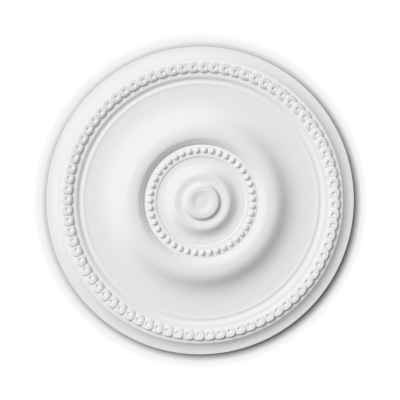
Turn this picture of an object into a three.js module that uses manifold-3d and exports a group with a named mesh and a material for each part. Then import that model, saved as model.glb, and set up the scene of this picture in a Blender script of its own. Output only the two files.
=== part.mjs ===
// Ceiling rose, cast in one piece: a stepped rim, a ring of overlapping coins, a shallow field,
// a raised dome ring, a ring of pearls and a central boss with a sunk eye.
// Millimetres, +Z up. The flat back lies on y = 0 and the face looks along -Y.
import * as THREE from "three";
import { mergeVertices } from "three/addons/utils/BufferGeometryUtils.js";
import Module from "manifold-3d";

// Every radius is measured from the axis, and every height from the flat back.
const OUTER_RADIUS = 260;
const RIM_HEIGHT = 13.5;

const RIM_COVE = { inner: 242, top: 18.7, power: 2.7 };
const BAND = { outer: 240.4, inner: 211.2, height: 20.2 };
const BAND_COVE = { steepest: 207.8, inner: 202.6, bottom: 16.7 };
const ASTRAGAL = { crest: 198.2, crestHeight: 17.6, inner: 194.2, foot: 16.85 };
const FIELD = { lowest: 184, height: 16.6 };

const DOME = { steepest: 140.3, crest: 115.7, crestHeight: 35.5, footPower: 3 };
const SHOULDER = { outer: 105.4, top: 34.1, inner: 97.4, bottom: 28.6 };
const GROOVE = { radius: 96.4, height: 25.5 };
const BED = { outer: 91.5, inner: 76.4, height: 26.9 };
const BED_STEP = { inner: 72.8, bottom: 25.3 };

const BOSS = { foot: 68.9, steepest: 50.6, crest: 44, crestHeight: 35.2 };
const DIP = { inner: 31.3, height: 33.6 };
const DISC = { edge: 29.8, edgeTop: 37.4, flat: 24.6, height: 40.3 };
const EYE = { outer: 17.6, inner: 10.4, bottom: 38.3 };

const COIN = { count: 80, ring: 225.6, radius: 9.1, halfLength: 10.8, tilt: 6.5, first: 1.2 };
const COIN_FACE = { rise: 5.2, flat: 6, edge: 3.3, lean: 11 };
const COIN_SIDES = 7;
const PEARL = { count: 43, ring: 86.3, radius: 5.2, sink: 0.5, first: 5.4 };
const PEARL_SIDES = 8;

const DISC_SIDES = 52;
const HUB_SIDES = 28;
const HUB_SINK = 8;
const FLOOR_UNDER_HUB = 15;

const wasm = await Module();
wasm.setup();

// Shares of a rise for a share of its run. A sag and a swell start flat and leave with their
// steepest slope, a reversed swell starts with it and ends flat.
const sag = (power) => (u) => u ** power;
const swell = (u) => 2 * u ** 3 - u ** 4;
const swellReversed = (u) => 1 - swell(1 - u);

// Points of a profile from one (radius, height) to another, without the first one.
function curve(from, to, shape, steps) {
  return Array.from({ length: steps }, (_, i) => {
    const u = (i + 1) / steps;
    return [
      THREE.MathUtils.lerp(from[0], to[0], u),
      THREE.MathUtils.lerp(from[1], to[1], shape(u)),
    ];
  });
}

// A closed mesh's geometry as a solid.
function solid(geometry) {
  const bare = geometry.clone();
  bare.deleteAttribute("normal");
  bare.deleteAttribute("uv");
  const merged = mergeVertices(bare, 1e-4);
  return new wasm.Manifold(
    new wasm.Mesh({
      numProp: 3,
      vertProperties: merged.attributes.position.array,
      triVerts: new Uint32Array(merged.index.array),
    }),
  );
}

// A profile of (radius, height) turned round the rose's axis, the heights running along -Y.
function turned(profile, sides) {
  const points = profile.map(([radius, height]) => new THREE.Vector2(radius, -height));
  return new THREE.LatheGeometry(points.reverse(), sides);
}

// The height where a flank is steepest: its foot rises by a power of its run, and the slope that
// it leaves with runs over into the crown's.
function inflection(bottom, top, footRun, footPower, crownRun) {
  const foot = footRun / footPower;
  return bottom + ((top - bottom) * foot) / (foot + crownRun / 2);
}

// The disc from its back, round the rim and over the dome ring, to the floor under the hub.
function discProfile() {
  const lowest = [FIELD.lowest, FIELD.height];
  const steepest = [
    DOME.steepest,
    inflection(
      FIELD.height,
      DOME.crestHeight,
      FIELD.lowest - DOME.steepest,
      DOME.footPower,
      DOME.steepest - DOME.crest,
    ),
  ];
  const crest = [DOME.crest, DOME.crestHeight];
  const coveSteepest = [
    BAND_COVE.steepest,
    inflection(
      BAND.height,
      BAND_COVE.bottom,
      BAND.inner - BAND_COVE.steepest,
      2,
      BAND_COVE.steepest - BAND_COVE.inner,
    ),
  ];
  return [
    [0, 0],
    [OUTER_RADIUS, 0],
    [OUTER_RADIUS, RIM_HEIGHT],
    ...curve([OUTER_RADIUS, RIM_HEIGHT], [RIM_COVE.inner, RIM_COVE.top], sag(RIM_COVE.power), 2),
    [BAND.outer, BAND.height],
    [BAND.inner, BAND.height],
    coveSteepest,
    ...curve(coveSteepest, [BAND_COVE.inner, BAND_COVE.bottom], swellReversed, 2),
    [ASTRAGAL.crest, ASTRAGAL.crestHeight],
    [ASTRAGAL.inner, ASTRAGAL.foot],
    lowest,
    ...curve(lowest, steepest, sag(DOME.footPower), 2),
    ...curve(steepest, crest, swellReversed, 3),
    [SHOULDER.outer, SHOULDER.top],
    [SHOULDER.inner, SHOULDER.bottom],
    [GROOVE.radius, GROOVE.height],
    [GROOVE.radius, FLOOR_UNDER_HUB],
    [0, FLOOR_UNDER_HUB],
  ];
}

// The hub: the pearls' bed, the cove round the boss, and the boss's disc with its eye.
function hubProfile() {
  const foot = [BOSS.foot, BED_STEP.bottom];
  const steepest = [
    BOSS.steepest,
    inflection(
      BED_STEP.bottom,
      BOSS.crestHeight,
      BOSS.foot - BOSS.steepest,
      2,
      BOSS.steepest - BOSS.crest,
    ),
  ];
  const discEdge = [DISC.edge, DISC.edgeTop];
  return [
    [0, FLOOR_UNDER_HUB - 5],
    [GROOVE.radius + HUB_SINK, FLOOR_UNDER_HUB - 5],
    [GROOVE.radius + HUB_SINK, GROOVE.height],
    [GROOVE.radius, GROOVE.height],
    [BED.outer, BED.height],
    [BED.inner, BED.height],
    [BED_STEP.inner, BED_STEP.bottom],
    foot,
    ...curve(foot, steepest, swell, 2),
    ...curve(steepest, [BOSS.crest, BOSS.crestHeight], swellReversed, 2),
    [DIP.inner, DIP.height],
    discEdge,
    ...curve(discEdge, [DISC.flat, DISC.height], swellReversed, 2),
    [EYE.outer, DISC.height],
    [EYE.inner, EYE.bottom],
    [0, EYE.bottom],
  ];
}

// A body placed at an angle on a ring of the face, counted clockwise from +X as one looks at it,
// and leaned round the ring so that its trailing side lifts.
function onRing(geometry, ring, angle, height, lean) {
  const place = new THREE.Matrix4()
    .makeRotationY(THREE.MathUtils.degToRad(angle))
    .multiply(new THREE.Matrix4().makeTranslation(ring, -height, 0))
    .multiply(new THREE.Matrix4().makeRotationX(THREE.MathUtils.degToRad(lean)));
  return geometry.clone().applyMatrix4(place);
}

function ringOf(geometry, ring, height, lean) {
  return Array.from({ length: ring.count }, (_, i) => {
    const angle = ring.first + (360 / ring.count) * i;
    return solid(onRing(geometry, ring.ring, angle, height, lean));
  });
}

// One coin: a flat face and a shoulder down to its edge, longer round the ring than across it.
// The edge stands tallest on the outer side of the ring.
function coin() {
  const profile = [
    [0, -COIN_FACE.rise / 2],
    [COIN.radius, -COIN_FACE.rise / 2],
    [COIN.radius, COIN_FACE.edge],
    [COIN_FACE.flat, COIN_FACE.rise],
    [0, COIN_FACE.rise],
  ];
  const body = turned(profile, COIN_SIDES);
  const points = body.attributes.position;
  const lean = Math.tan(THREE.MathUtils.degToRad(COIN_FACE.lean));
  for (let i = 0; i < points.count; i++) {
    const atEdge = Math.hypot(points.getX(i), points.getZ(i)) > (COIN_FACE.flat + COIN.radius) / 2;
    if (atEdge && points.getY(i) < 0) {
      points.setY(i, points.getY(i) - points.getX(i) * lean);
    }
  }
  return body.scale(1, 1, COIN.halfLength / COIN.radius);
}

function pearl() {
  return new THREE.SphereGeometry(PEARL.radius, PEARL_SIDES, PEARL_SIDES / 2);
}

function rose() {
  return [
    solid(turned(discProfile(), DISC_SIDES)),
    solid(turned(hubProfile(), HUB_SIDES)),
    ...ringOf(coin(), COIN, BAND.height, COIN.tilt),
    ...ringOf(pearl(), PEARL, BED.height - PEARL.sink, 0),
  ].reduce((whole, piece) => whole.add(piece));
}

// A solid back as geometry that a mesh can hold.
function geometryOf(body) {
  const mesh = body.getMesh();
  const position = new THREE.BufferAttribute(mesh.vertProperties, 3);
  return new THREE.BufferGeometry()
    .setAttribute("position", position)
    .setIndex(new THREE.BufferAttribute(mesh.triVerts, 1));
}

const primedWhite = new THREE.MeshStandardMaterial({
  color: 0xf3f3f2,
  roughness: 0.6,
  metalness: 0,
});

const group = new THREE.Group();
const ceilingRose = new THREE.Mesh(geometryOf(rose()), primedWhite);
ceilingRose.name = "ceiling_rose";
group.add(ceilingRose);

export default group;
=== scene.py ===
import math

import bpy
import numpy as np
from bpy.props import FloatProperty, FloatVectorProperty, IntProperty, PointerProperty
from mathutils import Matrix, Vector


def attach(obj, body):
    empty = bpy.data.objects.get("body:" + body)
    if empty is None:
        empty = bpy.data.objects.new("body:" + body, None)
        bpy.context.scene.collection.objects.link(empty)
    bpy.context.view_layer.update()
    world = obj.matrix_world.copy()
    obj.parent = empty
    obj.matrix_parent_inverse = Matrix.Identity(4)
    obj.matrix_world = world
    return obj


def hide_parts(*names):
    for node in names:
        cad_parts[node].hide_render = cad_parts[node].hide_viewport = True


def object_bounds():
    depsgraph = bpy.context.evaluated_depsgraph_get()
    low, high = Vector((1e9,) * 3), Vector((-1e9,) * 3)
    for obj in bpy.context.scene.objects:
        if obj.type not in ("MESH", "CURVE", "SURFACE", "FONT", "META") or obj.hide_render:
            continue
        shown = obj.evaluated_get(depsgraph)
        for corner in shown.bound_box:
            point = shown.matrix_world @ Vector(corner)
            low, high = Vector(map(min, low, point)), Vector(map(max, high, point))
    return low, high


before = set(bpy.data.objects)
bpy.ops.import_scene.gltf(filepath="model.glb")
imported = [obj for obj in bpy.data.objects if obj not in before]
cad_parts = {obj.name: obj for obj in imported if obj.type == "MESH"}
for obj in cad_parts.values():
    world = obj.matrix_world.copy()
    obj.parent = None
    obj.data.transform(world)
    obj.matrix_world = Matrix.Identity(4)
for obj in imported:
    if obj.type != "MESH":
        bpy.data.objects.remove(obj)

bl_info = {
    "name": "Ceiling rose",
    "version": (1, 0, 0),
    "blender": (4, 5, 0),
    "location": "View3D > Sidebar > Rose",
    "description": "Builds a moulded ceiling rose with coins, pearls and a boss on its frame",
    "category": "Add Mesh",
}

NODE = "ceiling_rose"
CAD_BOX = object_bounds()
OUTER_RADIUS = CAD_BOX[1].x
FULL_HEIGHT = -CAD_BOX[0].y
MM = 0.001


def length(name, description, default):
    """A size in metres that shows as a length in the panel."""
    return FloatProperty(
        name=name, description=description, default=default, unit="LENGTH", subtype="DISTANCE"
    )


class RoseSizes(bpy.types.PropertyGroup):
    """Radii are measured from the rose's axis, and heights from its flat back."""

    rim_height: length("Rim height", "Height of the rim's outer edge", 13.5 * MM)
    rim_cove_inner: length("Rim cove inner", "Radius where the rim's cove ends", 242 * MM)
    rim_cove_top: length("Rim cove top", "Height where the rim's cove ends", 18.7 * MM)
    band_outer: length("Band outer", "Outer radius of the flat band", 240.4 * MM)
    band_inner: length("Band inner", "Inner radius of the flat band", 211.2 * MM)
    band_height: length("Band height", "Height of the band under the coins", 20.2 * MM)
    cove_steepest: length("Cove steepest", "Radius where the band's cove is steepest", 207.8 * MM)
    cove_inner: length("Cove inner", "Radius where the band's cove ends", 202.6 * MM)
    cove_bottom: length("Cove bottom", "Height where the band's cove ends", 16.7 * MM)
    astragal_radius: length("Astragal radius", "Radius of the small ridge's crest", 198.2 * MM)
    astragal_height: length("Astragal height", "Height of the small ridge's crest", 17.6 * MM)
    astragal_inner: length("Astragal inner", "Radius where the small ridge ends", 194.2 * MM)
    astragal_foot: length("Astragal foot", "Height where the small ridge ends", 16.85 * MM)
    field_radius: length("Field radius", "Radius where the dome's foot starts", 184 * MM)
    field_height: length("Field height", "Height of the field", 16.6 * MM)
    dome_steepest: length("Dome steepest", "Radius where the dome's flank is steepest", 140.3 * MM)
    dome_crest: length("Dome crest", "Radius of the dome ring's crest", 115.7 * MM)
    dome_height: length("Dome height", "Height of the dome ring's crest", 35.5 * MM)
    shoulder_radius: length("Shoulder radius", "Radius where the dome turns down inwards", 105.4 * MM)
    shoulder_height: length("Shoulder height", "Height where the dome turns down", 34.1 * MM)
    shoulder_inner: length("Shoulder inner", "Radius where the dome's inner side ends", 97.4 * MM)
    shoulder_bottom: length("Shoulder bottom", "Height where the dome's inner side ends", 28.6 * MM)
    groove_radius: length("Groove radius", "Radius of the groove at the dome's inner side", 96.4 * MM)
    groove_height: length("Groove height", "Height of the groove's bottom", 25.5 * MM)
    bed_outer: length("Bed outer", "Outer radius of the pearls' bed", 91.5 * MM)
    bed_inner: length("Bed inner", "Inner radius of the pearls' bed", 76.4 * MM)
    bed_height: length("Bed height", "Height of the pearls' bed", 26.9 * MM)
    bed_step_inner: length("Bed step inner", "Radius where the bed's inner step ends", 72.8 * MM)
    bed_step_bottom: length("Bed step bottom", "Height where the bed's step ends", 25.3 * MM)
    boss_foot: length("Boss foot", "Radius where the cove round the boss starts", 68.9 * MM)
    boss_steepest: length("Boss steepest", "Radius where that cove is steepest", 50.6 * MM)
    boss_crest: length("Boss crest", "Radius of the boss's shoulder", 44 * MM)
    boss_height: length("Boss height", "Height of the boss's shoulder", 35.2 * MM)
    dip_radius: length("Dip radius", "Radius where the dip meets the disc", 31.3 * MM)
    dip_height: length("Dip height", "Height of the dip round the disc", 33.6 * MM)
    disc_edge: length("Disc edge", "Radius of the top of the disc's riser", 29.8 * MM)
    disc_edge_top: length("Disc edge top", "Height of the top of the disc's riser", 37.4 * MM)
    disc_flat: length("Disc flat", "Radius of the disc's flat face", 24.6 * MM)
    eye_outer: length("Eye outer", "Radius of the eye's lip", 17.6 * MM)
    eye_terrace: length("Eye terrace", "Radius of the second step in the eye", 14 * MM)
    eye_inner: length("Eye inner", "Radius of the eye's flat floor", 10.4 * MM)
    eye_depth: length("Eye depth", "Depth of the eye in the disc", 2 * MM)
    eye_riser: length("Eye riser", "Width of each of the eye's steep steps", 0.9 * MM)
    crease: length("Crease", "How far the moulded edges are softened", 0.35 * MM)


class RoseOrnament(bpy.types.PropertyGroup):
    """The coins and the pearls, each a ring of like bodies moulded into the rose."""

    coins: IntProperty(name="Coins", description="Coins in the outer ring", default=80, min=12)
    coin_ring: length("Coin ring", "Radius of the ring through the coins' centres", 225.6 * MM)
    coin_radius: length("Coin radius", "Half of a coin's size across the ring", 9.1 * MM)
    coin_half_length: length("Coin half length", "Half of its size along the ring", 10.8 * MM)
    coin_squareness: FloatProperty(
        name="Coin squareness",
        description="Power of a coin's outline: 2 is an oval, and more fills its corners",
        default=2.5,
        min=2,
    )
    coin_rise: length("Coin rise", "Height of a coin's face over the band", 5.2 * MM)
    coin_edge: length("Coin edge", "Height of a coin's upright edge", 3.3 * MM)
    coin_tilt: FloatProperty(
        name="Coin tilt",
        description="How far a coin leans round the ring",
        default=math.radians(6.5),
        unit="ROTATION",
        subtype="ANGLE",
    )
    coin_lean: FloatProperty(
        name="Coin lean",
        description="How far a coin leans out of the ring, its outer edge up",
        default=math.radians(11),
        unit="ROTATION",
        subtype="ANGLE",
    )
    coin_first: FloatProperty(
        name="First coin",
        description="Angle of the first coin, clockwise from +X",
        default=math.radians(1.2),
        unit="ROTATION",
        subtype="ANGLE",
    )
    dimple_radius: length("Dimple radius", "Radius of the dimple in a coin", 4.1 * MM)
    dimple_depth: length("Dimple depth", "Depth of the dimple in a coin", 2.8 * MM)
    pearls: IntProperty(name="Pearls", description="Pearls in the inner ring", default=43, min=12)
    pearl_ring: length("Pearl ring", "Radius of the ring through the pearls' centres", 86.3 * MM)
    pearl_radius: length("Pearl radius", "Radius of one pearl", 5.2 * MM)
    pearl_tail: FloatProperty(
        name="Pearl tail",
        description="Length of a pearl's outer half over its inner half",
        default=1.1,
        min=1,
    )
    pearl_sink: length("Pearl sink", "How deep a pearl's centre lies under its bed", 0.5 * MM)
    pearl_first: FloatProperty(
        name="First pearl",
        description="Angle of the first pearl, clockwise from +X",
        default=math.radians(5.4),
        unit="ROTATION",
        subtype="ANGLE",
    )


class RoseFinish(bpy.types.PropertyGroup):
    """The factory primer on the moulding."""

    primer: FloatVectorProperty(
        name="Primer", description="Colour of the primer", subtype="COLOR", size=3,
        default=(0.78, 0.78, 0.78),
    )
    thin_primer: FloatVectorProperty(
        name="Thin primer", description="Colour where the primer lies thin", subtype="COLOR",
        size=3, default=(0.755, 0.755, 0.752),
    )
    roughness: FloatProperty(
        name="Roughness", description="Roughness of the primer", default=0.62, min=0, max=1
    )
    grain: length("Grain", "Height of the primer's fine grain", 0.02 * MM)


class RoseStage(bpy.types.PropertyGroup):
    """The wall behind the rose, the floor, the light and the camera."""

    frame_width: length("Frame width", "Width of the picture at the rose", 676 * MM)
    camera_distance: length("Camera distance", "From the rose's centre to the camera", 2.4)
    camera_azimuth: FloatProperty(
        name="Camera azimuth",
        description="Turn of the camera round the rose from straight ahead",
        default=math.radians(-3.3),
        unit="ROTATION",
        subtype="ANGLE",
    )
    camera_elevation: FloatProperty(
        name="Camera elevation",
        description="Height of the camera over straight ahead",
        default=math.radians(2.5),
        unit="ROTATION",
        subtype="ANGLE",
    )
    aim: FloatVectorProperty(
        name="Aim", description="Point in the middle of the picture", subtype="TRANSLATION", size=3,
        default=(-1.62 * MM, -10 * MM, 1.93 * MM),
    )
    key_power: FloatProperty(
        name="Key power", description="Power of the soft key light", default=1640, unit="POWER"
    )
    key_size: length("Key size", "Diameter of the soft key light", 11)
    key_distance: length("Key distance", "From the rose's centre to the key light", 12)
    key_turn: FloatProperty(
        name="Key turn",
        description="Where the key light stands, clockwise from +X as one looks at the rose",
        default=math.radians(217),
        unit="ROTATION",
        subtype="ANGLE",
    )
    key_lift: FloatProperty(
        name="Key lift",
        description="Angle of the key light out of the wall",
        default=math.radians(49),
        unit="ROTATION",
        subtype="ANGLE",
    )
    fill: FloatProperty(
        name="Fill", description="Strength of the even fill light", default=0.265, min=0
    )
    back_power: FloatProperty(
        name="Back power", description="Power of the light behind the wall", default=60,
        unit="POWER",
    )


def swell(u):
    """The integral of a smooth step, flat at its start and steepest at its end."""
    return 2 * u**3 - u**4


def swell_reversed(u):
    """Steepest at its start and flat at its end."""
    return 1 - swell(1 - u)


def ease(u):
    """Flat at both ends and steepest half way."""
    return 3 * u**2 - 2 * u**3


def sag(power):
    """A power of the run, flat at its start and steepest at its end."""
    return lambda u: u**power


def line(u):
    """A straight run."""
    return u


RUN_STEP = 0.2 * MM


def run(start, end, shape):
    """Points from start to end, without the start: the radius runs evenly, and the height has
    covered shape(u) of its rise at share u of the run."""
    start, end = np.array(start), np.array(end)
    count = max(2, int(np.hypot(*(end - start)) / RUN_STEP))
    u = np.linspace(0, 1, count + 1)[1:]
    return start + (end - start) * np.stack([u, shape(u)], axis=1)


def path(first, *runs):
    """A profile from its first point through runs of (end, shape)."""
    points = [np.array([first])]
    for end, shape in runs:
        points.append(run(points[-1][-1], end, shape))
    return np.concatenate(points)


def points_at(marks, along, profile):
    """The profile's points at some marks, where its own points lie at the marks in along."""
    return np.stack([np.interp(marks, along, profile[:, k]) for k in (0, 1)], axis=1)


BELL_STEPS = 4
BELL_HALF = 4 * BELL_STEPS


def softened(profile, reach):
    """The profile spaced evenly along its length and averaged with a bell of that reach, so that
    its creases become small rounds. Its ends stay, because each end is mirrored through itself."""
    along = np.concatenate([[0], np.cumsum(np.hypot(*np.diff(profile, axis=0).T))])
    marks = np.linspace(0, along[-1], int(along[-1] / (reach / BELL_STEPS)))
    even = points_at(marks, along, profile)
    bell = np.exp(-0.5 * (np.arange(-BELL_HALF, BELL_HALF + 1) / BELL_STEPS) ** 2)
    bell /= bell.sum()
    before = 2 * even[0] - even[BELL_HALF:0:-1]
    after = 2 * even[-1] - even[-2 : -BELL_HALF - 2 : -1]
    longer = np.concatenate([before, even, after])
    return np.stack([np.convolve(longer[:, k], bell, "valid") for k in (0, 1)], axis=1)


def thinned(profile, count, bend_share):
    """That many points of the profile, crowded where it bends: the spacing goes by its length
    plus a share for how far it has turned."""
    legs = np.diff(profile, axis=0)
    turn = np.abs(np.diff(np.unwrap(np.arctan2(legs[:, 1], legs[:, 0]))))
    reach = np.hypot(*legs.T)
    weight = reach / reach.sum()
    weight[1:] += bend_share * turn / turn.sum()
    along = np.concatenate([[0], np.cumsum(weight)])
    return points_at(np.linspace(0, along[-1], count), along, profile)


def inflection(bottom, top, foot_run, foot_power, crown_run):
    """The height where a flank is steepest: its foot rises by a power of its run, and the slope
    that it leaves with runs over into the crown's."""
    foot = foot_run / foot_power
    return bottom + (top - bottom) * foot / (foot + crown_run / 2)


# Powers of the curves that only sag. The swell leaves its foot like the second power.
RIM_COVE_POWER = 2.7
BAND_COVE_POWER = 2
DOME_FOOT_POWER = 3
SHOULDER_POWER = 3
SWELL_POWER = 2

# Shares of the eye's depth at the bottom of its first step, at its terrace's inner edge and at the
# bottom of its second step.
EYE_FIRST = 0.4
EYE_TERRACE = 0.45
EYE_SECOND = 0.75


def face_profile(s):
    """(radius, height) from the back's edge over the face to the centre of the eye."""
    eye_bottom = FULL_HEIGHT - s.eye_depth
    cove_middle = inflection(
        s.band_height, s.cove_bottom, s.band_inner - s.cove_steepest, BAND_COVE_POWER,
        s.cove_steepest - s.cove_inner,
    )
    dome_middle = inflection(
        s.field_height, s.dome_height, s.field_radius - s.dome_steepest, DOME_FOOT_POWER,
        s.dome_steepest - s.dome_crest,
    )
    boss_middle = inflection(
        s.bed_step_bottom, s.boss_height, s.boss_foot - s.boss_steepest, SWELL_POWER,
        s.boss_steepest - s.boss_crest,
    )
    return path(
        (OUTER_RADIUS, 0),
        ((OUTER_RADIUS, s.rim_height), line),
        ((s.rim_cove_inner, s.rim_cove_top), sag(RIM_COVE_POWER)),
        ((s.band_outer, s.band_height), line),
        ((s.band_inner, s.band_height), line),
        ((s.cove_steepest, cove_middle), sag(BAND_COVE_POWER)),
        ((s.cove_inner, s.cove_bottom), swell_reversed),
        ((s.astragal_radius, s.astragal_height), ease),
        ((s.astragal_inner, s.astragal_foot), ease),
        ((s.field_radius, s.field_height), swell_reversed),
        ((s.dome_steepest, dome_middle), sag(DOME_FOOT_POWER)),
        ((s.dome_crest, s.dome_height), swell_reversed),
        ((s.shoulder_radius, s.shoulder_height), sag(SHOULDER_POWER)),
        ((s.shoulder_inner, s.shoulder_bottom), line),
        ((s.groove_radius, s.groove_height), line),
        ((s.bed_outer, s.bed_height), swell_reversed),
        ((s.bed_inner, s.bed_height), line),
        ((s.bed_step_inner, s.bed_step_bottom), swell_reversed),
        ((s.boss_foot, s.bed_step_bottom), line),
        ((s.boss_steepest, boss_middle), swell),
        ((s.boss_crest, s.boss_height), swell_reversed),
        ((s.dip_radius, s.dip_height), ease),
        ((s.disc_edge, s.disc_edge_top), line),
        ((s.disc_flat, FULL_HEIGHT), swell_reversed),
        ((s.eye_outer, FULL_HEIGHT), line),
        ((s.eye_outer - s.eye_riser, FULL_HEIGHT - s.eye_depth * EYE_FIRST), line),
        ((s.eye_terrace, FULL_HEIGHT - s.eye_depth * EYE_TERRACE), line),
        ((s.eye_terrace - s.eye_riser, FULL_HEIGHT - s.eye_depth * EYE_SECOND), line),
        ((s.eye_inner, eye_bottom), swell_reversed),
        ((0, eye_bottom), line),
    )


def turned_grid(profile, sides):
    """Points and faces of a closed body: a profile of (radius, height), with both its ends on the
    axis, turned round the Y axis with the heights along -Y. The ends are single points."""
    angle = np.linspace(0, 2 * np.pi, sides, endpoint=False)
    ring = profile[1:-1]
    rings = len(ring)
    grid = np.empty((rings, sides, 3))
    grid[..., 0] = ring[:, None, 0] * np.cos(angle)
    grid[..., 1] = -ring[:, None, 1]
    grid[..., 2] = -ring[:, None, 0] * np.sin(angle)
    poles = np.array([[0, -profile[0, 1], 0], [0, -profile[-1, 1], 0]])
    i, j = np.meshgrid(np.arange(rings - 1), np.arange(sides), indexing="ij")
    after = (j + 1) % sides
    quads = np.stack(
        [i * sides + j, i * sides + after, (i + 1) * sides + after, (i + 1) * sides + j], axis=-1
    ).reshape(-1, 4)
    at = np.arange(sides)
    follow = (at + 1) % sides
    last = (rings - 1) * sides
    first_fan = np.stack([np.full(sides, rings * sides), follow, at], axis=1)
    last_fan = np.stack([np.full(sides, rings * sides + 1), last + at, last + follow], axis=1)
    return np.concatenate([grid.reshape(-1, 3), poles]), quads, np.concatenate([first_fan, last_fan])


def ring_of(body, ring, angles, height, tilt=0, lean=0):
    """Copies of a body on a ring of the face, at angles clockwise from +X: each leans out of the
    ring by the lean and round it by the tilt, moves out to the ring and up to the height, and
    turns round the axis."""
    points, quads, fans = body
    cos, sin = math.cos(lean), math.sin(lean)
    x = points[:, 0] * cos - points[:, 1] * sin + ring
    up = points[:, 1] * cos + points[:, 0] * sin
    cos, sin = math.cos(tilt), math.sin(tilt)
    y = up * cos - points[:, 2] * sin - height
    z = up * sin + points[:, 2] * cos
    c, s = np.cos(angles)[:, None], np.sin(angles)[:, None]
    placed = np.stack([c * x + s * z, np.broadcast_to(y, (len(angles), len(y))), c * z - s * x], -1)
    shift = (np.arange(len(angles)) * len(points))[:, None, None]
    return placed.reshape(-1, 3), (quads + shift).reshape(-1, 4), (fans + shift).reshape(-1, 3)


def new_mesh_object(name, body):
    """An object at the origin whose mesh holds the points, four-sided and three-sided faces."""
    points, quads, fans = body
    mesh = bpy.data.meshes.new(name)
    mesh.vertices.add(len(points))
    mesh.vertices.foreach_set("co", points.astype(np.float32).ravel())
    corners = np.concatenate([quads.ravel(), fans.ravel()]).astype(np.int32)
    mesh.loops.add(len(corners))
    mesh.loops.foreach_set("vertex_index", corners)
    sizes = np.concatenate([np.full(len(quads), 4), np.full(len(fans), 3)]).astype(np.int32)
    mesh.polygons.add(len(sizes))
    mesh.polygons.foreach_set("loop_start", np.concatenate([[0], np.cumsum(sizes)[:-1]]))
    mesh.update(calc_edges=True)
    mesh.validate()
    obj = bpy.data.objects.new(name, mesh)
    bpy.context.scene.collection.objects.link(obj)
    return obj


def fuse(whole, part):
    """Joins a part into the whole for good, as one closed body, and removes the part."""
    joined = whole.modifiers.new("Fuse", "BOOLEAN")
    joined.operation = "UNION"
    joined.solver = "MANIFOLD"
    joined.object = part
    shape = bpy.data.meshes.new_from_object(
        whole.evaluated_get(bpy.context.evaluated_depsgraph_get())
    )
    whole.modifiers.clear()
    old, whole.data = whole.data, shape
    bpy.data.meshes.remove(old)
    bpy.data.objects.remove(part)


COIN_SIDES = 28
COIN_FACE_POINTS = 13
CROWN_FLATNESS = 3
CROWN_FULLNESS = 0.6


def coin_profile(o):
    """A coin from below the band to the bottom of its dimple: an upright edge, a rounded face,
    flat in its middle, and a dimple like a cosine bowl."""
    share = np.sin(np.linspace(math.pi / 2, 0, COIN_FACE_POINTS))
    radius = share * o.coin_radius
    rounded = (1 - share**CROWN_FLATNESS) ** CROWN_FULLNESS
    crown = o.coin_edge + (o.coin_rise - o.coin_edge) * rounded
    hollow = np.where(
        radius < o.dimple_radius, 0.5 + 0.5 * np.cos(np.pi * radius / o.dimple_radius), 0
    )
    sunk = [[0, -o.coin_rise / 2], [o.coin_radius, -o.coin_rise / 2]]
    face = np.stack([radius, crown - o.dimple_depth * hollow], axis=1)
    return np.concatenate([sunk, face])


def coin_body(o):
    """A coin turned from its profile, then drawn out into its squarish oval: fully at its edge, and
    less and less towards the dimple, which stays round. Its face bends against the lean, so that it
    ends up level in the middle."""
    points, quads, fans = turned_grid(coin_profile(o), COIN_SIDES)
    reach = np.hypot(points[:, 0], points[:, 2])
    centre = reach == 0
    x, z = (points[:, k] / (reach + centre) for k in (0, 2))
    power = o.coin_squareness
    stretch = o.coin_half_length / o.coin_radius
    edge = (np.abs(x) ** power + np.abs(z / stretch) ** power + centre) ** (-1 / power)
    outward = (reach / o.coin_radius) ** 2
    on_face = points[:, 1] < 0
    points[:, 1] += on_face * math.tan(o.coin_lean) * points[:, 0] * (1 - outward)
    points[:, [0, 2]] *= (1 + (edge - 1) * outward)[:, None]
    return points, quads, fans


PEARL_SIDES = 20
PEARL_POINTS = 13


def pearl_body(o):
    """A pearl turned from a half circle, whose outer half is drawn out along the radius."""
    angle = np.linspace(-math.pi / 2, math.pi / 2, PEARL_POINTS)
    circle = o.pearl_radius * np.stack([np.cos(angle), np.sin(angle)], axis=1)
    points, quads, fans = turned_grid(circle, PEARL_SIDES)
    points[:, 0] = np.where(points[:, 0] > 0, points[:, 0] * o.pearl_tail, points[:, 0])
    return points, quads, fans


class Socket:
    """A shader socket that takes part in sums: each operator adds its Math node."""

    def __init__(self, tree, socket):
        self.tree = tree
        self.socket = socket

    def math(self, operation, *values):
        return self.tree.node("ShaderNodeMath", {"operation": operation}, dict(enumerate(values)))

    def __add__(self, other):
        return self.math("ADD", self, other)

    def __rsub__(self, other):
        return self.math("SUBTRACT", other, self)

    def __mul__(self, other):
        return self.math("MULTIPLY", self, other)


class Tree:
    """A material's nodes. A socket goes by its name, or by its number where names repeat."""

    def __init__(self, name):
        self.material = bpy.data.materials.new(name)
        self.material.use_nodes = True
        self.nodes = self.material.node_tree.nodes
        self.links = self.material.node_tree.links
        self.nodes.clear()

    def node(self, kind, settings=None, inputs=None, output=0):
        """A new node with its settings, then its sockets' values or links, and one output."""
        made = self.nodes.new(kind)
        for name, value in (settings or {}).items():
            setattr(made, name, value)
        for name, value in (inputs or {}).items():
            if isinstance(value, Socket):
                self.links.new(value.socket, made.inputs[name])
            else:
                made.inputs[name].default_value = value
        return Socket(self, made.outputs[output])

    def mixed(self, share, first, second):
        """A colour between two colours."""
        return self.node(
            "ShaderNodeMix", {"data_type": "RGBA"}, {0: share, 6: (*first, 1), 7: (*second, 1)}, 2
        )

    def finish(self, surface):
        """The surface's shader into the material's output."""
        output = self.nodes.new("ShaderNodeOutputMaterial")
        self.links.new(surface.socket, output.inputs[0])
        return self.material


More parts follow.
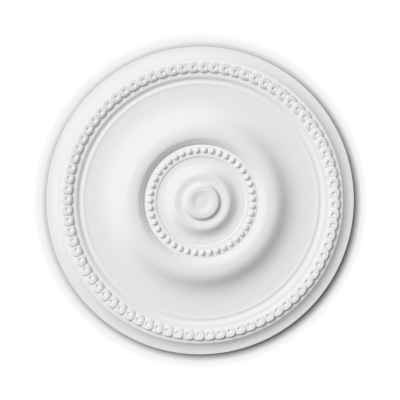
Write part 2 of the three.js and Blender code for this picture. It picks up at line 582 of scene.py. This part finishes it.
def primed_white(f):
    """Matt primer on a moulded body: broad faint clouds where it lies thin, and a fine grain."""
    tree = Tree("primed_white_moulding")
    place = tree.node("ShaderNodeTexCoord", output="Object")
    clouds = tree.node(
        "ShaderNodeTexNoise", inputs={"Vector": place, "Scale": 9, "Detail": 3, "Roughness": 0.5}
    )
    grain = tree.node(
        "ShaderNodeTexNoise", inputs={"Vector": place, "Scale": 620, "Detail": 2, "Roughness": 0.6}
    )
    pores = tree.node("ShaderNodeTexNoise", inputs={"Vector": place, "Scale": 180, "Detail": 1})
    thin = clouds * 0.7 + grain * 0.3
    relief = grain + pores * 0.6
    bump = tree.node(
        "ShaderNodeBump", inputs={"Strength": 1, "Distance": f.grain, "Height": relief}
    )
    shader = tree.node(
        "ShaderNodeBsdfPrincipled",
        inputs={
            "Base Color": tree.mixed(thin, f.primer, f.thin_primer),
            "Roughness": grain * 0.1 + (f.roughness - 0.05),
            "Specular IOR Level": 0.35,
            "Normal": bump,
        },
    )
    return tree.finish(shader)


ROSE_SIDES = 216
PROFILE_POINTS = 150
BEND_SHARE = 1.2
CREASE_ANGLE = math.radians(32)


class ROSE_OT_moulding(bpy.types.Operator):
    """Build the whole moulding: the turned disc with its coins and pearls fused into it."""

    bl_idname = "rose.moulding"
    bl_label = "Moulding"

    def execute(self, context):
        sizes, ornament = context.scene.rose_sizes, context.scene.rose_ornament
        soft_face = softened(face_profile(sizes), sizes.crease)
        face = thinned(soft_face, PROFILE_POINTS, BEND_SHARE)
        profile = np.concatenate([[[0, 0]], face])
        profile[-1, 0] = 0
        whole = new_mesh_object("rose_moulding", turned_grid(profile, ROSE_SIDES))
        coin = coin_body(ornament)
        angles = ornament.coin_first + np.arange(ornament.coins) * math.tau / ornament.coins
        for half in (angles[::2], angles[1::2]):
            coins = ring_of(
                coin, ornament.coin_ring, half, sizes.band_height, ornament.coin_tilt,
                -ornament.coin_lean,
            )
            fuse(whole, new_mesh_object("coins", coins))
        pearl = pearl_body(ornament)
        angles = ornament.pearl_first + np.arange(ornament.pearls) * math.tau / ornament.pearls
        height = sizes.bed_height - ornament.pearl_sink
        pearls = ring_of(pearl, ornament.pearl_ring, angles, height)
        fuse(whole, new_mesh_object("pearls", pearls))
        whole.data.shade_smooth()
        whole.data.set_sharp_from_angle(angle=CREASE_ANGLE)
        whole.data.materials.append(primed_white(context.scene.rose_finish))
        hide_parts(NODE)
        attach(whole, "root")
        return {"FINISHED"}


WALL_REACH = 8
WALL_OVERLAP = 0.3 * MM
# The wall's colour holds a painted shadow: it starts at the near tone at the rose's edge and
# brightens over the reach to the far white.
WALL_PAINTED_SHADOW_TONE = 0.46
WALL_FAR_SHADE = 1.6
WALL_PAINTED_SHADOW_REACH = 30 * MM
WALL_THROWN_SHADE = 0.3
FLOOR_DROP = 1.6
FLOOR_SHADE = 0.8
FLOOR_THROWN_SHADE = 0.2
BACK_LIGHT_PLACE = (1.6, 2, 1.6)
BACK_LIGHT_SIZE = 1.6
VIEW_REACH = 40

# Brightness in the scene, and the share of white that it has in the picture.
TONES = [(0, 0), (0.84, 0.84), (0.9, 0.884), (1, 0.893), (1.35, 1)]
BURNT_OUT = TONES[-1][0]
ALL_CHANNELS = 3


def sheet(name, corners, material):
    """A flat four-cornered part of the stage."""
    obj = new_mesh_object(
        name, (np.array(corners, float), np.array([[0, 1, 2, 3]]), np.empty((0, 3), int))
    )
    obj.data.materials.append(material)


def matt(tree, seen, thrown):
    """A matt surface that shows and stops light only from its front. The camera sees one shade of
    it, and every other ray a darker one, so that it throws little light back at the rose. Two equal
    halves carry the shade, which may lie over 1 so that the surface burns out."""
    camera = tree.node("ShaderNodeLightPath", output="Is Camera Ray")
    shade = camera * seen + (1 - camera) * thrown
    half = tree.node("ShaderNodeBsdfDiffuse", inputs={"Color": shade * 0.5})
    white = tree.node("ShaderNodeAddShader", inputs={0: half, 1: half})
    clear = tree.node("ShaderNodeBsdfTransparent")
    behind = tree.node("ShaderNodeNewGeometry", output="Backfacing")
    return tree.finish(tree.node("ShaderNodeMixShader", inputs={0: behind, 1: white, 2: clear}))


def wall_white_with_painted_shadow():
    """Burnt-out white with a painted shadow: its colour darkens close round the rose, painted shade
    that deepens the shadow the rose really casts there.
    """
    tree = Tree("wall_white_with_painted_shadow")
    place = tree.node("ShaderNodeTexCoord", output="Object")
    flat = tree.node("ShaderNodeVectorMath", {"operation": "MULTIPLY"}, {0: place, 1: (1, 0, 1)})
    radius = tree.node("ShaderNodeVectorMath", {"operation": "LENGTH"}, {0: flat}, "Value")
    # Painted shadow: the wall's colour darkens towards the rose's edge.
    seen = tree.node(
        "ShaderNodeMapRange",
        inputs={
            "Value": radius,
            "From Min": OUTER_RADIUS,
            "From Max": OUTER_RADIUS + WALL_PAINTED_SHADOW_REACH,
            "To Min": WALL_PAINTED_SHADOW_TONE,
            "To Max": WALL_FAR_SHADE,
        },
    )
    return matt(tree, seen, WALL_THROWN_SHADE)


def floor_pale():
    """One pale grey all over."""
    return matt(Tree("floor_pale"), FLOOR_SHADE, FLOOR_THROWN_SHADE)


def area_light(name, place, size, power):
    """A round soft light at a place, aimed at the rose."""
    light = bpy.data.lights.new(name, "AREA")
    light.shape = "DISK"
    light.size = size
    light.energy = power
    obj = bpy.data.objects.new(name, light)
    obj.location = place
    obj.rotation_euler = (-Vector(place)).to_track_quat("-Z", "Y").to_euler()
    bpy.context.scene.collection.objects.link(obj)


class ROSE_OT_stage(bpy.types.Operator):
    """Build the stage: a white wall with a painted shadow round the rose, a pale floor, soft light
    and the camera.
    """

    bl_idname = "rose.stage"
    bl_label = "Stage"

    def execute(self, context):
        stage = context.scene.rose_stage
        reach, low, front = WALL_REACH, -FLOOR_DROP, -WALL_OVERLAP
        upright = [(-reach, low), (reach, low), (reach, reach), (-reach, reach)]
        sheet("wall", [(x, front, z) for x, z in upright], wall_white_with_painted_shadow())
        level = [(-reach, -reach), (reach, -reach), (reach, reach), (-reach, reach)]
        sheet("floor", [(x, y, low) for x, y in level], floor_pale())
        flat = math.cos(stage.key_lift)
        toward_key = np.array(
            [
                math.cos(stage.key_turn) * flat,
                -math.sin(stage.key_lift),
                -math.sin(stage.key_turn) * flat,
            ]
        )
        area_light("key", toward_key * stage.key_distance, stage.key_size, stage.key_power)
        area_light("back", BACK_LIGHT_PLACE, BACK_LIGHT_SIZE, stage.back_power)
        self.world(context, stage)
        self.camera(context, stage)
        self.develop(context.scene.view_settings)
        return {"FINISHED"}

    def develop(self, view):
        """The picture's tones: true up to light grey, then a shoulder that keeps the highlights
        under white, and white only where the wall burns out."""
        view.view_transform = "Standard"
        view.use_curve_mapping = True
        tones = view.curve_mapping
        tones.clip_max_x = BURNT_OUT
        tones.extend = "EXTRAPOLATED"
        curve = tones.curves[ALL_CHANNELS]
        curve.points[1].location = TONES[-1]
        for place, value in TONES[1:-1]:
            curve.points.new(place, value)
        for point in curve.points:
            point.handle_type = "VECTOR"
        tones.update()

    def world(self, context, stage):
        """White to the camera, and a dimmer even fill to every surface."""
        world = bpy.data.worlds.new("fill")
        world.use_nodes = True
        nodes, links = world.node_tree.nodes, world.node_tree.links
        nodes.clear()
        paths = nodes.new("ShaderNodeLightPath")
        fill = nodes.new("ShaderNodeBackground")
        fill.inputs["Strength"].default_value = stage.fill
        white = nodes.new("ShaderNodeBackground")
        mix = nodes.new("ShaderNodeMixShader")
        out = nodes.new("ShaderNodeOutputWorld")
        links.new(paths.outputs["Is Camera Ray"], mix.inputs[0])
        links.new(fill.outputs[0], mix.inputs[1])
        links.new(white.outputs[0], mix.inputs[2])
        links.new(mix.outputs[0], out.inputs[0])
        for lamp in (fill, white):
            lamp.inputs["Color"].default_value = (1, 1, 1, 1)
        white.inputs["Strength"].default_value = BURNT_OUT
        context.scene.world = world

    def camera(self, context, stage):
        """At the photograph's angle, with the rose in the middle of the picture."""
        lens = bpy.data.cameras.new("camera")
        lens.lens = lens.sensor_width * stage.camera_distance / stage.frame_width
        obj = bpy.data.objects.new("camera", lens)
        flat = math.cos(stage.camera_elevation)
        back = Vector(
            (
                math.sin(stage.camera_azimuth) * flat,
                -math.cos(stage.camera_azimuth) * flat,
                math.sin(stage.camera_elevation),
            )
        )
        target = Vector(stage.aim)
        obj.location = target + back * stage.camera_distance
        obj.rotation_euler = (-back).to_track_quat("-Z", "Y").to_euler()
        lens.clip_end = VIEW_REACH
        context.scene.collection.objects.link(obj)
        context.scene.camera = obj


class ROSE_PT_panel(bpy.types.Panel):
    """Lists the rose's parts with the sizes and colours behind them."""

    bl_label = "Ceiling rose"
    bl_space_type = "VIEW_3D"
    bl_region_type = "UI"
    bl_category = "Rose"

    def draw(self, context):
        layout = self.layout
        for operator in (ROSE_OT_moulding, ROSE_OT_stage):
            layout.operator(operator.bl_idname)
        for group in ("rose_sizes", "rose_ornament", "rose_finish", "rose_stage"):
            values = getattr(context.scene, group)
            for name in values.__annotations__:
                layout.prop(values, name)


CLASSES = (
    RoseSizes,
    RoseOrnament,
    RoseFinish,
    RoseStage,
    ROSE_OT_moulding,
    ROSE_OT_stage,
    ROSE_PT_panel,
)
GROUPS = {
    "rose_sizes": RoseSizes,
    "rose_ornament": RoseOrnament,
    "rose_finish": RoseFinish,
    "rose_stage": RoseStage,
}


def register():
    for cls in CLASSES:
        bpy.utils.register_class(cls)
    for name, group in GROUPS.items():
        setattr(bpy.types.Scene, name, PointerProperty(type=group))


def unregister():
    for name in GROUPS:
        delattr(bpy.types.Scene, name)
    for cls in reversed(CLASSES):
        bpy.utils.unregister_class(cls)


def main():
    register()
    bpy.ops.rose.moulding()
    bpy.ops.rose.stage()
    bpy.context.view_layer.update()


if __name__ == "__main__":
    main()
